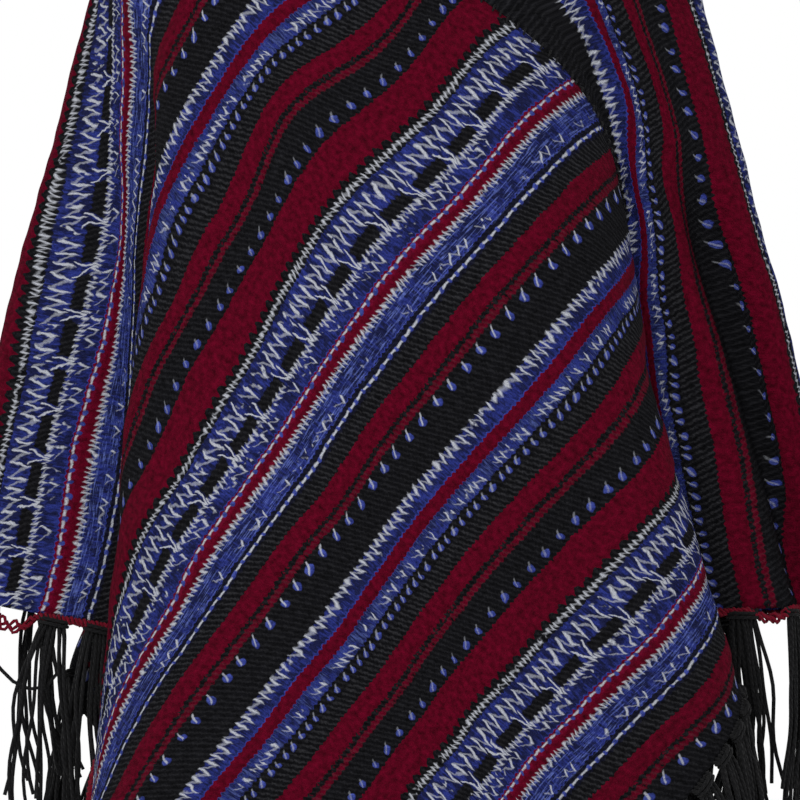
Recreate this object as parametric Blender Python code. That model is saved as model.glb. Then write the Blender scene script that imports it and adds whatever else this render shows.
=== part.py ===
"""Knitted poncho sweater, worn: two equal panels joined end to side, with a tasselled hem.

Each panel is one straight piece of striped knitting.  The end of one is sewn to the side of the
other, twice, so that the seams leave a diamond neck and the hems come to a point in front and
behind.  Laid out round the middle of the neck the cloth is a cone of 180 degrees: a place on it
is given by its distance from that middle and by an angle, 0 at the front point and 90 at the
back point.  The cloth hangs in lobes over the front, the back and the two arms, with a deep
valley between each lobe and the next.  The back is the front turned half a turn.

Metres, +Z up.  The wearer faces -Y.  The origin is the middle of the neck, on the shoulders.
"""
import math

import bmesh
import bpy
import numpy as np

# ---- the cut ---------------------------------------------------------------------------------
NECK_HALF_EDGE = 0.140       # half of one straight neck edge; the neck is four of these round
HEM_REACH = 0.876            # from the middle of the neck to both hems, laid flat
WALL = 0.003                 # thickness of the knitting
SEAM_GAP = 0.0003            # between two panels, and between a hem and its tassel strip
GRID = 0.0270                # size of one facet of a panel

# ---- the hang --------------------------------------------------------------------------------
# Four rings of the cloth, each at one distance from the middle of the neck.
RING_NECK, RING_SHOULDER, RING_ELBOW, RING_HEM = 0.140, 0.380, 0.600, 0.876
NECK_LEAVES_OUT = 1.30       # how far out, and how little down, the cloth leaves the neck
NECK_LEAVES_DOWN = 0.35

# The lines that run straight out from the neck along the crests and valleys of the front half:
# angle on the cloth in degrees, then where the line crosses each ring.
HANG_COLUMNS = ("line", "angle", "neck_x", "neck_y", "shoulder_x", "shoulder_y", "shoulder_z",
                "elbow_x", "elbow_y", "hem_x", "hem_y")
HANG = (
    ("right_arm_edge", -43.0, -0.068, 0.030, -0.249, 0.018, -0.155, -0.309, 0.006, -0.368, 0.000),
    ("right_arm_face", -35.5, -0.073, 0.010, -0.239, -0.028, -0.155, -0.234, -0.043, -0.245, -0.046),
    ("right_valley_arm", -31.0, -0.0735, 0.000, -0.225, -0.057, -0.158, -0.202, -0.057, -0.180, -0.050),
    ("right_valley_front", -28.0, -0.073, -0.008, -0.212, -0.076, -0.162, -0.178, -0.078, -0.172, -0.086),
    ("right_contour", -23.5, -0.070, -0.018, -0.190, -0.102, -0.167, -0.197, -0.110, -0.222, -0.112),
    ("front_right", -10.0, -0.060, -0.040, -0.124, -0.147, -0.180, -0.121, -0.186, -0.129, -0.226),
    ("front_middle", 0.0, -0.044, -0.054, -0.060, -0.161, -0.188, -0.037, -0.215, 0.008, -0.255),
    ("front_left", 10.0, -0.022, -0.064, 0.002, -0.159, -0.184, 0.067, -0.203, 0.139, -0.232),
    ("left_contour", 21.0, 0.006, -0.066, 0.060, -0.143, -0.166, 0.162, -0.163, 0.242, -0.138),
    ("left_valley_front", 28.5, 0.023, -0.063, 0.110, -0.121, -0.156, 0.190, -0.103, 0.150, -0.098),
    ("left_valley_arm", 32.0, 0.031, -0.060, 0.136, -0.108, -0.150, 0.186, -0.075, 0.150, -0.060),
    ("left_arm_face", 38.5, 0.048, -0.050, 0.180, -0.076, -0.146, 0.221, -0.060, 0.252, -0.048),
)
HALF_TURN = 90.0             # the cloth angle from a front line to the same line behind

# ---- tassels ---------------------------------------------------------------------------------
STRANDS = 3                  # thick strands in one tassel
STRAND = 0.0065              # thickness of a strand at its root
STRAND_RINGS = ((0.35, 0.0065), (1.00, 0.0045))      # how far down its length, how thick there
STRIP = 0.006                # height of the strip that the tassels hang from
STRIP_INSET = 0.002          # from the end of a hem to the end of its strip
TASSEL_LENGTH = 0.150
TASSEL_SPREAD = 0.008        # how much further apart neighbouring strands end than they begin
PLUMB_SHARE = 0.75           # how far a tip hangs plumb rather than in line with the cloth
LENGTH_STEPS = (0.00, -0.018, 0.008, -0.009, 0.014, -0.004, -0.022, 0.005)   # uneven trimming

BLACK_YARN = (0.012, 0.012, 0.014, 1.0)
BLUE_KNIT = (0.030, 0.034, 0.120, 1.0)
RED_KNIT = (0.120, 0.006, 0.018, 1.0)


# ---- the surface of the cloth ----------------------------------------------------------------
class ClosedSpline:
    """Cubic spline through rows of values at given angles, repeating after 180 degrees."""

    PERIOD = 2.0 * HALF_TURN

    def __init__(self, angles, values):
        self.angles = np.append(angles, angles[0] + self.PERIOD)
        self.values = np.vstack([values, values[:1]])
        steps = np.diff(self.angles)
        count = len(steps)
        slopes = np.diff(self.values, axis=0) / steps[:, None]
        matrix = np.zeros((count, count))
        right = np.zeros((count, self.values.shape[1]))
        for i in range(count):
            before, after = steps[i - 1], steps[i]
            matrix[i, i - 1] += before
            matrix[i, i] += 2.0 * (before + after)
            matrix[i, (i + 1) % count] += after
            right[i] = 6.0 * (slopes[i] - slopes[i - 1])
        bends = np.linalg.solve(matrix, right)
        self.bends = np.vstack([bends, bends[:1]])

    def __call__(self, angle):
        first = self.angles[0]
        angle = (np.asarray(angle) - first) % self.PERIOD + first
        i = np.clip(np.searchsorted(self.angles, angle, side="right") - 1, 0, len(self.angles) - 2)
        step = (self.angles[i + 1] - self.angles[i])[..., None]
        b = (angle - self.angles[i])[..., None] / step
        a = 1.0 - b
        bend = ((a**3 - a) * self.bends[i] + (b**3 - b) * self.bends[i + 1]) * step**2 / 6.0
        return a * self.values[i] + b * self.values[i + 1] + bend


def hang_lines():
    """The spline through the crest and valley lines, front and, turned half round, back."""
    front = np.array([row[1:] for row in HANG])
    back = front.copy()
    back[:, 0] += HALF_TURN
    for column, name in enumerate(HANG_COLUMNS[1:]):
        if name.endswith("_x") or name.endswith("_y"):
            back[:, column] *= -1.0
    both = np.vstack([front, back])
    return ClosedSpline(both[:, 0], both[:, 1:])


LINES = hang_lines()


def cloth(s, t):
    """A place of the cloth in space.  s and t are its two distances from the middle of the
    neck, along the seam directions; s = t is the front point's line."""
    reach = np.hypot(s, t)
    angle = np.degrees(np.arctan2(s, t)) - 45.0
    rings = LINES(angle)
    neck = np.concatenate([rings[..., 0:2], np.zeros_like(rings[..., :1])], axis=-1)
    shoulder, shoulder_z = rings[..., 2:4], rings[..., 4]
    elbow, hem = rings[..., 5:7], rings[..., 7:9]
    to_elbow, to_hem = RING_ELBOW - RING_SHOULDER, RING_HEM - RING_SHOULDER
    curve = ((hem - shoulder) / to_hem - (elbow - shoulder) / to_elbow) / (to_hem - to_elbow)
    lean = (elbow - shoulder) / to_elbow - curve * to_elbow

    def fall(distance):
        """How fast the cloth drops where it has gone so far below the shoulder ring."""
        across = lean + 2.0 * curve * distance[..., None]
        return np.sqrt(1.0 - np.sum(across**2, axis=-1))

    beyond = np.maximum(reach - RING_SHOULDER, 0.0)
    within = np.minimum(beyond, to_hem)
    past = (beyond - within)[..., None]
    bent = within[..., None]
    plan = shoulder + lean * bent + curve * bent**2 + (lean + 2.0 * curve * to_hem) * past
    drop = within / 6.0 * (fall(0.0 * within) + 4.0 * fall(within / 2.0) + fall(within))
    drop = drop + past[..., 0] * fall(0.0 * within + to_hem)
    below = np.concatenate([plan, (shoulder_z - drop)[..., None]], axis=-1)

    # over the shoulders, from the neck ring to the shoulder ring
    top = np.concatenate([shoulder, shoulder_z[..., None]], axis=-1)
    run = top - neck
    leave = run * np.array([NECK_LEAVES_OUT, NECK_LEAVES_OUT, NECK_LEAVES_DOWN])
    arrive = np.concatenate([lean, -fall(0.0 * within)[..., None]], axis=-1)
    arrive = arrive * (RING_SHOULDER - RING_NECK)
    q = ((reach - RING_NECK) / (RING_SHOULDER - RING_NECK)).clip(max=1.0)[..., None]
    above = ((2 * q**3 - 3 * q**2 + 1) * neck + (q**3 - 2 * q**2 + q) * leave
             + (3 * q**2 - 2 * q**3) * top + (q**3 - q**2) * arrive)
    return np.where((reach < RING_SHOULDER)[..., None], above, below)


def outward(s, t, step=0.0005):
    """The direction that points out of the garment."""
    along_s = cloth(s + step, t) - cloth(s - step, t)
    along_t = cloth(s, t + step) - cloth(s, t - step)
    normal = np.cross(along_t, along_s)
    return normal / np.linalg.norm(normal, axis=-1, keepdims=True)


# ---- meshes ----------------------------------------------------------------------------------
def plain_material(name, colour, roughness):
    material = bpy.data.materials.new(name)
    material.use_nodes = True
    shader = material.node_tree.nodes["Principled BSDF"]
    shader.inputs["Base Color"].default_value = colour
    shader.inputs["Roughness"].default_value = roughness
    return material


def add_object(name, mesh, material, parent):
    mesh.materials.append(material)
    mesh.shade_smooth()
    mesh.set_sharp_from_angle(angle=math.radians(50.0))
    piece = bpy.data.objects.new(name, mesh)
    bpy.context.scene.collection.objects.link(piece)
    piece.parent = parent
    return piece


def spaced(first, last):
    return np.linspace(first, last, int(round((last - first) / GRID)) + 1)


ALONG = spaced(NECK_HALF_EDGE, HEM_REACH)                  # from the neck end to the hem end
ACROSS = np.append(spaced(-NECK_HALF_EDGE, NECK_HALF_EDGE)[:-1], ALONG)    # side to side

# the facets of each hem that carry a tassel: every other one, clear of the seam in the valley
NECK_FACETS = len(ACROSS) - len(ALONG)                     # as many as lie below the neck's end
HEM_CARRIERS = [*range(2, NECK_FACETS, 2), *range(NECK_FACETS + 1, len(ACROSS) - 1, 2)]
SIDE_CARRIERS = [*range(0, len(ALONG) - 1, 2)]


def panel_mesh(name, back):
    """One panel: a wall over its own straight stripes, from its back seam side to its hem side
    and from the neck end to the hem end."""
    across, along = ACROSS.copy(), ALONG.copy()
    across[0] += SEAM_GAP / 2.0
    along[0] += SEAM_GAP / 2.0
    u, v = np.meshgrid(across, along, indexing="ij")
    s, t = (v, -u) if back else (u, v)
    middle, out = cloth(s, t), outward(s, t)
    mesh = bmesh.new()
    rows, columns = u.shape
    skins = []
    for side in (0.5, -0.5):
        points = middle + out * (WALL * side)
        skins.append([[mesh.verts.new(points[i, j]) for j in range(columns)] for i in range(rows)])
    outer, inner = skins
    for i in range(rows - 1):
        for j in range(columns - 1):
            mesh.faces.new((outer[i][j], outer[i][j + 1], outer[i + 1][j + 1], outer[i + 1][j]))
            mesh.faces.new((inner[i][j], inner[i + 1][j], inner[i + 1][j + 1], inner[i][j + 1]))
    border = [(i, 0) for i in range(rows)] + [(rows - 1, j) for j in range(1, columns)]
    border += [(i, columns - 1) for i in range(rows - 2, -1, -1)]
    border += [(0, j) for j in range(columns - 2, 0, -1)]
    for (i, j), (k, m) in zip(border, border[1:] + border[:1]):
        mesh.faces.new((outer[i][j], outer[k][m], inner[k][m], inner[i][j]))
    return finish_mesh(name, mesh)


def finish_mesh(name, mesh):
    bmesh.ops.triangulate(mesh, faces=mesh.faces)
    bmesh.ops.recalc_face_normals(mesh, faces=mesh.faces)
    data = bpy.data.meshes.new(name)
    mesh.to_mesh(data)
    mesh.free()
    return data


def fringe_mesh(name, start, direction, down, edge, carriers, back):
    """A narrow strip along one hem, with the tassels' strands drawn out of its lower face.
    start, direction and down are on the flat cloth, down pointing off the hem; edge holds the
    places of the panel's corners along the hem; a tassel hangs from each facet in carriers."""
    edge = edge - edge[0]
    stations = [STRIP_INSET]
    strand_faces = {}
    for facet in range(len(edge) - 1):
        if facet > 0:
            stations.append(edge[facet])
        if facet in carriers:
            tassel = carriers.index(facet)
            begin = (edge[facet] + edge[facet + 1] - STRAND * STRANDS) / 2.0
            for strand in range(STRANDS):
                strand_faces[len(stations) + strand] = (tassel, strand)
            stations.extend(begin + STRAND * np.arange(STRANDS + 1))
    stations.append(edge[-1] - STRIP_INSET)

    def strip_points(off, side):
        """A line of the strip, straight between the panel's corners as the hem is."""
        flat = start + direction * edge[:, None] + down * off
        s, t = flat[:, 0], flat[:, 1]
        if back:
            s, t = t, -s
        corners = cloth(s, t) + outward(s, t) * side
        return np.stack([np.interp(stations, edge, corners[:, k]) for k in range(3)], axis=-1)

    top, bottom = SEAM_GAP, SEAM_GAP + STRIP
    lines = [strip_points(top, WALL / 2.0), strip_points(bottom, STRAND / 2.0),
             strip_points(bottom, -STRAND / 2.0), strip_points(top, -WALL / 2.0)]
    mesh = bmesh.new()
    verts = [[mesh.verts.new(point) for point in line] for line in lines]
    last = len(stations) - 1
    for i in range(last):
        for k in range(4):
            m = (k + 1) % 4
            if k == 1 and i in strand_faces:
                continue
            mesh.faces.new((verts[k][i], verts[k][i + 1], verts[m][i + 1], verts[m][i]))
    mesh.faces.new([verts[k][0] for k in range(4)])
    mesh.faces.new([verts[k][last] for k in (3, 2, 1, 0)])
    for i, (tassel, strand) in strand_faces.items():
        root = [verts[1][i], verts[1][i + 1], verts[2][i + 1], verts[2][i]]
        corners = np.array([vert.co for vert in root])
        centre = corners.mean(axis=0)
        aside = corners[1] - corners[0]
        aside = aside / np.linalg.norm(aside)
        middle = (stations[i] + stations[i + 1]) / 2.0
        length = TASSEL_LENGTH + LENGTH_STEPS[(3 * tassel + 5 * strand) % len(LENGTH_STEPS)]
        place = strand - (STRANDS - 1) / 2.0
        foot = start + direction * middle + down * bottom
        for part, width in STRAND_RINGS:
            apart = TASSEL_SPREAD * place * part
            # on the cloth's own surface, drawn out past the hem
            spot = foot * (1.0 + length * part / np.linalg.norm(foot)) + direction * apart
            s, t = spot[:, None] + direction[:, None] * np.array([-0.5, 0.5, 0.5, -0.5]) * width
            if back:
                s, t = t, -s
            thick = np.array([0.5, 0.5, -0.5, -0.5])[:, None] * width
            flared = cloth(s, t) + outward(s, t) * thick
            # straight down from the root
            plumb = centre + (corners - centre) * width / STRAND
            plumb = plumb + aside * apart + np.array([0.0, 0.0, -length * part])
            share = PLUMB_SHARE * part
            ring = [mesh.verts.new(point) for point in flared * (1.0 - share) + plumb * share]
            for k in range(4):
                m = (k + 1) % 4
                mesh.faces.new((root[k], root[m], ring[m], ring[k]))
            root = ring
        mesh.faces.new(root)
    return finish_mesh(name, mesh)


def build():
    for piece in list(bpy.data.objects):
        bpy.data.objects.remove(piece, do_unlink=True)
    root = bpy.data.objects.new("poncho", None)
    bpy.context.scene.collection.objects.link(root)
    black = plain_material("black_yarn", BLACK_YARN, 0.95)
    knits = {"front": plain_material("blue_knit", BLUE_KNIT, 0.95),
             "back": plain_material("red_knit", RED_KNIT, 0.95)}
    for place in ("front", "back"):
        back = place == "back"
        add_object("panel_" + place, panel_mesh("panel_" + place, back), knits[place], root)
        to_side, to_hem = np.array([1.0, 0.0]), np.array([0.0, 1.0])
        hems = (("hem", np.array([-NECK_HALF_EDGE, HEM_REACH]), to_side, to_hem, ACROSS,
                 HEM_CARRIERS),
                ("side", np.array([HEM_REACH, NECK_HALF_EDGE]), to_hem, to_side, ALONG,
                 SIDE_CARRIERS))
        for hem, *layout in hems:
            name = "fringe_%s_%s" % (place, hem)
            add_object(name, fringe_mesh(name, *layout, back), black, root)


build()
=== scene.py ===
"""The looks of a striped, knitted poncho, worn, with a tasselled hem.

Two straight panels are joined end to side.  Each is a thick knitted shell on its solid's form,
with the stripes, stitches and slubs of its yarns.  Tassels of loose black yarn are knotted over
the hems, a slack crimson yarn runs along the two course ends, and black stitches close the seams.
Metres, +Z up, the wearer faces -Y.
"""
import math

import bpy
import numpy as np
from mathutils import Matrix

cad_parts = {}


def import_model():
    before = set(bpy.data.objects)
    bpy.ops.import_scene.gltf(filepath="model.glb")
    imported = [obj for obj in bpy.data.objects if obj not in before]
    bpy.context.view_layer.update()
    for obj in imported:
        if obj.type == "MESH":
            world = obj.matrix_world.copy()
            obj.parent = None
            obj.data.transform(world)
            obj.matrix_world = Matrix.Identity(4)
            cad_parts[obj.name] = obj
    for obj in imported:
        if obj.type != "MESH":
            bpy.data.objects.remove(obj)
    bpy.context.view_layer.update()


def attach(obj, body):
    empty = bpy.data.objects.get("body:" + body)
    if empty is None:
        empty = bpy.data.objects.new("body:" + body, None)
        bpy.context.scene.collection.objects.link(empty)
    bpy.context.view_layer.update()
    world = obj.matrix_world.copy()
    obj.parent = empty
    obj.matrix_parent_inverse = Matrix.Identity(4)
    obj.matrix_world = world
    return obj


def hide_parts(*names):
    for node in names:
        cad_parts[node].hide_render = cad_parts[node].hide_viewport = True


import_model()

# ---- the cut and the hang, as the solids have them --------------------------------------------
NECK_HALF_EDGE = 0.140
HEM_REACH = 0.876
WALL = 0.003
SEAM_GAP = 0.0003
FACET = 0.0270               # a facet of the solids along a hem: every other one has a tassel
PANEL_WIDTH = HEM_REACH + NECK_HALF_EDGE       # across the stripes
PANEL_LENGTH = HEM_REACH - NECK_HALF_EDGE      # along them

RING_NECK, RING_SHOULDER, RING_ELBOW, RING_HEM = 0.140, 0.380, 0.600, 0.876
NECK_LEAVES_OUT = 1.30
NECK_LEAVES_DOWN = 0.35

# a line of the cloth from the neck, its angle, and where it crosses each ring
HANG_COLUMNS = ("line", "angle", "neck_x", "neck_y", "shoulder_x", "shoulder_y", "shoulder_z",
                "elbow_x", "elbow_y", "hem_x", "hem_y")
HANG = (
    ("right_arm_edge", -43.0, -0.068, 0.030, -0.249, 0.018, -0.155, -0.309, 0.006, -0.368, 0.000),
    ("right_arm_face", -35.5, -0.073, 0.010, -0.239, -0.028, -0.155, -0.234, -0.043, -0.245, -0.046),
    ("right_valley_arm", -31.0, -0.0735, 0.000, -0.225, -0.057, -0.158, -0.202, -0.057, -0.180, -0.050),
    ("right_valley_front", -28.0, -0.073, -0.008, -0.212, -0.076, -0.162, -0.178, -0.078, -0.172, -0.086),
    ("right_contour", -23.5, -0.070, -0.018, -0.190, -0.102, -0.167, -0.197, -0.110, -0.222, -0.112),
    ("front_right", -10.0, -0.060, -0.040, -0.124, -0.147, -0.180, -0.121, -0.186, -0.129, -0.226),
    ("front_middle", 0.0, -0.044, -0.054, -0.060, -0.161, -0.188, -0.037, -0.215, 0.008, -0.255),
    ("front_left", 10.0, -0.022, -0.064, 0.002, -0.159, -0.184, 0.067, -0.203, 0.139, -0.232),
    ("left_contour", 21.0, 0.006, -0.066, 0.060, -0.143, -0.166, 0.162, -0.163, 0.242, -0.138),
    ("left_valley_front", 28.5, 0.023, -0.063, 0.110, -0.121, -0.156, 0.190, -0.103, 0.150, -0.098),
    ("left_valley_arm", 32.0, 0.031, -0.060, 0.136, -0.108, -0.150, 0.186, -0.075, 0.150, -0.060),
    ("left_arm_face", 38.5, 0.048, -0.050, 0.180, -0.076, -0.146, 0.221, -0.060, 0.252, -0.048),
)
HALF_TURN = 90.0             # degrees on the flat cloth: the back is the front this far round
DIAGONAL = 45.0              # the line from the neck's middle to a panel's point

# ---- the knitting, measured in its own unit ----------------------------------------------------
UNIT = 0.0008                # metres: a fine thread's width, the unit of every size below
REPEAT = 418.0               # across one repeat of the stripes
CHART_STARTS = 18.0          # where the chart of the stripes starts
CHART_ENDS = CHART_STARTS + REPEAT
FIRST_STRIPE = 219.0         # where in the chart the panel's first side lies
WALE = 6.15                  # one stitch along a course

# The ground of the chart: each stripe, where it starts, its yarn, and how far it stands out in
# millimetres.
STRIPES = (
    ("black_before_blue", 18.0, "black", -0.3),
    ("blue_of_loops", 31.0, "blue", 0.2),
    ("red_with_dashes", 96.0, "wine", 0.5),
    ("red_cord", 105.0, "crimson", 0.9),
    ("blue_streaked", 114.5, "blue", 0.3),
    ("speckled_ground", 140.0, "navy", 0.1),
    ("black_ribs", 152.5, "black", -0.2),
    ("crimson_line", 170.0, "crimson", 0.8),
    ("black_with_dots", 190.0, "black", -0.2),
    ("blue_edge", 247.5, "blue", 0.2),
    ("red_centre", 267.5, "crimson", 0.9),
    ("pale_thread", 281.2, "pale", 0.7),
    ("blue_comb", 282.6, "blue", 0.3),
    ("dark_gap", 299.0, "black", -0.1),
    ("black_ribs_again", 313.0, "black", -0.2),
    ("crimson_line_again", 330.0, "crimson", 0.8),
    ("black_with_small_dots", 350.5, "black", -0.2),
    ("wide_crimson", 398.0, "crimson", 1.1),
)

# Hand knitting is uneven: how far the chart is pulled aside on each panel, at these places
# across it, and along its courses at SKEW_ALONG.  It is nothing at the sewn side.
SKEW_ALONG = (100.0, 250.0, 400.0, 510.0, 620.0, 720.0, 900.0)
SKEWS = {
    "front": (
        (0.0, (0, 0, 0, 0, 0, 0, 0)),
        (120.0, (0, 0, 0, 0, 0, 0, 0)),
        (221.0, (-2, -5, 0, 2, -8, -18, -30)),
        (244.0, (-8, -11, -8, -8, -14, -22, -35)),
        (309.0, (0, 5, -4, -10, -6, -3, -18)),
        (379.0, (0, -1, 26, 34, 20, 0, 0)),
        (460.0, (0, 6, 8, 0, 0, 0, 0)),
        (539.0, (-8, 14, -6, -21, -15, -10, 0)),
        (616.0, (0, 7, 3, -6, -22, -9, 0)),
        (727.0, (-3, 1, -8, -6, -4, -10, 0)),
        (797.0, (-9, 0, -9, -10, 2, 5, 4)),
        (891.0, (-12, -5, -5, -3, 0, 6, 10)),
        (957.0, (-12, -10, -3, -1, 3, 10, 17)),
        (1034.0, (-18, -16, -3, 2, 14, 24, 24)),
        (1270.0, (-16, -16, -10, 4, 10, 14, 14)),
    ),
    "back": (
        (0.0, (0, 0, 0, 0, 0, 0, 0)),
        (28.0, (-4, -8, -9, -6, 0, 0, 0)),
        (60.0, (-10, -26, -33, -29, 8, 24, 30)),
        (90.0, (-10, -30, -42, -7, 16, 24, 38)),
        (115.0, (-5, -15, -20, 12, 24, 28, 43)),
        (146.0, (0, 11, 28, 34, 18, 18, 46)),
        (150.0, (0, 14, 30, 35, 30, 32, 46)),
        (172.0, (0, 36, 43, 44, 38, 46, 46)),
        (182.0, (0, 46, 54, 54, 42, 46, 46)),
        (205.0, (0, 48, 60, 60, 44, 46, 46)),
        (230.0, (0, 40, 50, 50, 42, 44, 44)),
        (420.0, (0, 0, 0, 0, 0, 0, 0)),
        (1270.0, (0, 0, 0, 0, 0, 0, 0)),
    ),
}


def srgb(red, green, blue, rib_sheen_share=0.0):
    """A colour given in the usual 0 to 255 steps, as the shader wants it, and in the place of its opacity
    how strongly a painted sheen shows on the ribs of its yarn."""
    return tuple(((c / 255.0 + 0.055) / 1.055) ** 2.4 if c > 10.3 else c / 255.0 / 12.92
                 for c in (red, green, blue)) + (rib_sheen_share,)


# The yarns' colours, and one more that is no yarn: the painted sheen on the ribs of black yarn
YARNS = {
    "black": srgb(17, 17, 20, 1.0),
    "navy": srgb(19, 20, 36, 0.4),
    "blue": srgb(46, 56, 132, 0.0),
    "light_blue": srgb(96, 112, 186),
    "pale": srgb(150, 120, 160),
    "wine": srgb(98, 6, 36, 0.1),
    "crimson": srgb(88, 3, 27),
    "white": srgb(188, 191, 200),
    # not a yarn: the grey of the painted sheen on the ribs of black yarn
    "painted_rib_sheen": srgb(46, 46, 49),
}


# ---- the surface of the cloth ------------------------------------------------------------------
class ClosedSpline:
    """Cubic spline through rows of values at given angles, repeating after 180 degrees."""

    PERIOD = 2.0 * HALF_TURN

    def __init__(self, angles, values):
        self.angles = np.append(angles, angles[0] + self.PERIOD)
        self.values = np.vstack([values, values[:1]])
        steps = np.diff(self.angles)
        count = len(steps)
        slopes = np.diff(self.values, axis=0) / steps[:, None]
        matrix = np.zeros((count, count))
        right = np.zeros((count, self.values.shape[1]))
        for i in range(count):
            before, after = steps[i - 1], steps[i]
            matrix[i, i - 1] += before
            matrix[i, i] += 2.0 * (before + after)
            matrix[i, (i + 1) % count] += after
            right[i] = 6.0 * (slopes[i] - slopes[i - 1])
        bends = np.linalg.solve(matrix, right)
        self.bends = np.vstack([bends, bends[:1]])

    def __call__(self, angle):
        first = self.angles[0]
        angle = (np.asarray(angle) - first) % self.PERIOD + first
        i = np.clip(np.searchsorted(self.angles, angle, side="right") - 1, 0, len(self.angles) - 2)
        step = (self.angles[i + 1] - self.angles[i])[..., None]
        b = (angle - self.angles[i])[..., None] / step
        a = 1.0 - b
        bend = ((a**3 - a) * self.bends[i] + (b**3 - b) * self.bends[i + 1]) * step**2 / 6.0
        return a * self.values[i] + b * self.values[i + 1] + bend


def hang_lines():
    """The hang as one spline round the neck, the back's lines being the front's turned."""
    front = np.array([row[1:] for row in HANG])
    back = front.copy()
    back[:, 0] += HALF_TURN
    for column, name in enumerate(HANG_COLUMNS[1:]):
        if name.endswith("_x") or name.endswith("_y"):
            back[:, column] *= -1.0
    both = np.vstack([front, back])
    return ClosedSpline(both[:, 0], both[:, 1:])


LINES = hang_lines()


def cloth(s, t):
    """A place of the cloth in space, from its two distances from the middle of the neck."""
    reach = np.hypot(s, t)
    angle = np.degrees(np.arctan2(s, t)) - DIAGONAL
    rings = LINES(angle)
    neck = np.concatenate([rings[..., 0:2], np.zeros_like(rings[..., :1])], axis=-1)
    shoulder, shoulder_z = rings[..., 2:4], rings[..., 4]
    elbow, hem = rings[..., 5:7], rings[..., 7:9]
    to_elbow, to_hem = RING_ELBOW - RING_SHOULDER, RING_HEM - RING_SHOULDER
    curve = ((hem - shoulder) / to_hem - (elbow - shoulder) / to_elbow) / (to_hem - to_elbow)
    lean = (elbow - shoulder) / to_elbow - curve * to_elbow

    def fall(distance):
        across = lean + 2.0 * curve * distance[..., None]
        return np.sqrt(1.0 - np.sum(across**2, axis=-1))

    beyond = np.maximum(reach - RING_SHOULDER, 0.0)
    within = np.minimum(beyond, to_hem)
    past = (beyond - within)[..., None]
    bent = within[..., None]
    plan = shoulder + lean * bent + curve * bent**2 + (lean + 2.0 * curve * to_hem) * past
    drop = within / 6.0 * (fall(0.0 * within) + 4.0 * fall(within / 2.0) + fall(within))
    drop = drop + past[..., 0] * fall(0.0 * within + to_hem)
    below = np.concatenate([plan, (shoulder_z - drop)[..., None]], axis=-1)

    top = np.concatenate([shoulder, shoulder_z[..., None]], axis=-1)
    run = top - neck
    leave = run * np.array([NECK_LEAVES_OUT, NECK_LEAVES_OUT, NECK_LEAVES_DOWN])
    arrive = np.concatenate([lean, -fall(0.0 * within)[..., None]], axis=-1)
    arrive = arrive * (RING_SHOULDER - RING_NECK)
    q = ((reach - RING_NECK) / (RING_SHOULDER - RING_NECK)).clip(max=1.0)[..., None]
    above = ((2 * q**3 - 3 * q**2 + 1) * neck + (q**3 - 2 * q**2 + q) * leave
             + (3 * q**2 - 2 * q**3) * top + (q**3 - q**2) * arrive)
    return np.where((reach < RING_SHOULDER)[..., None], above, below)


def outward(s, t, step=0.0005):
    """The way off the cloth's outer face, measured over a small step."""
    along_s = cloth(s + step, t) - cloth(s - step, t)
    along_t = cloth(s, t + step) - cloth(s, t - step)
    normal = np.cross(along_t, along_s)
    return normal / np.linalg.norm(normal, axis=-1, keepdims=True)


def panel_place(across, along, side, off=0.0):
    """A place on a panel, by its own two sizes, moved off its middle surface."""
    s, t = (along, -across) if side == "back" else (across, along)
    if np.isscalar(off) and off == 0.0:
        return cloth(s, t)
    return cloth(s, t) + outward(s, t) * np.asarray(off)[..., None]


def soft_step(part):
    """0 to 1 as part goes from 0 to 1, slow at both ends."""
    return part * part * (3.0 - 2.0 * part)


def eased(knots, x):
    """The knot below x, and how far x is on to the next, eased at both."""
    x = np.clip(x, knots[0], knots[-1])
    i = np.clip(np.searchsorted(knots, x, side="right") - 1, 0, len(knots) - 2)
    return i, soft_step((x - knots[i]) / (knots[i + 1] - knots[i]))


def in_units(across, along):
    """A place of a panel in the knitting's unit: across it, and along its courses."""
    return (across + NECK_HALF_EDGE) / UNIT, (along - NECK_HALF_EDGE) / UNIT


def chart_place(across, along, side):
    """Where in the chart, and where along the course, a place of a panel lies."""
    index, course = in_units(across, along)
    places, shifts = zip(*SKEWS[side])
    shifts = np.array(shifts, float)
    i, f = eased(np.array(places), index)
    j, g = eased(np.array(SKEW_ALONG), course)
    low = shifts[i, j] * (1.0 - f) + shifts[i + 1, j] * f
    high = shifts[i, j + 1] * (1.0 - f) + shifts[i + 1, j + 1] * f
    return index + low * (1.0 - g) + high * g, course


# ---- shader arithmetic -------------------------------------------------------------------------
def maths(operation, turned=False):
    """A method of Wire that adds one Math node, its values turned round if it is reflected."""
    def method(self, *others):
        return self.kit.math(operation, *((*others, self) if turned else (self, *others)))
    return method


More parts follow.
